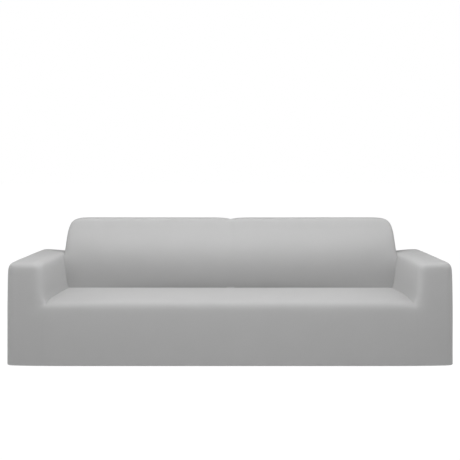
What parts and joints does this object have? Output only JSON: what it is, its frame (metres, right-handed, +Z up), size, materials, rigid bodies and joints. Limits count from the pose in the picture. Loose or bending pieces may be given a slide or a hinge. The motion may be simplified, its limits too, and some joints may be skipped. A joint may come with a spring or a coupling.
{
  "type": "sofa slipcover",
  "caption": "Stretch slipcover shaped over a long box-arm sofa: tight knitted cloth over seat, back and arms, open underneath, with a gathered elastic hem that turns in under the base.",
  "frame": {"origin": "on the floor, at the middle of the cover's footprint", "axes": "+X to the right seen from the front, +Y from the front to the back, +Z up"},
  "size_m": [2.7, 0.93, 0.84],
  "materials": {
    "stretch_jersey": "matt plain light grey stretch jersey, fine knit"
  },
  "bodies": {
    "root": {"seat_panel": "stretch_jersey", "front_panel": "stretch_jersey", "arm_panel_left": "stretch_jersey", "arm_panel_right": "stretch_jersey", "backrest_panel": "stretch_jersey", "backrest_top": "stretch_jersey", "backrest_end_left": "stretch_jersey", "backrest_end_right": "stretch_jersey", "back_panel": "stretch_jersey"}
  },
  "joints": []
}
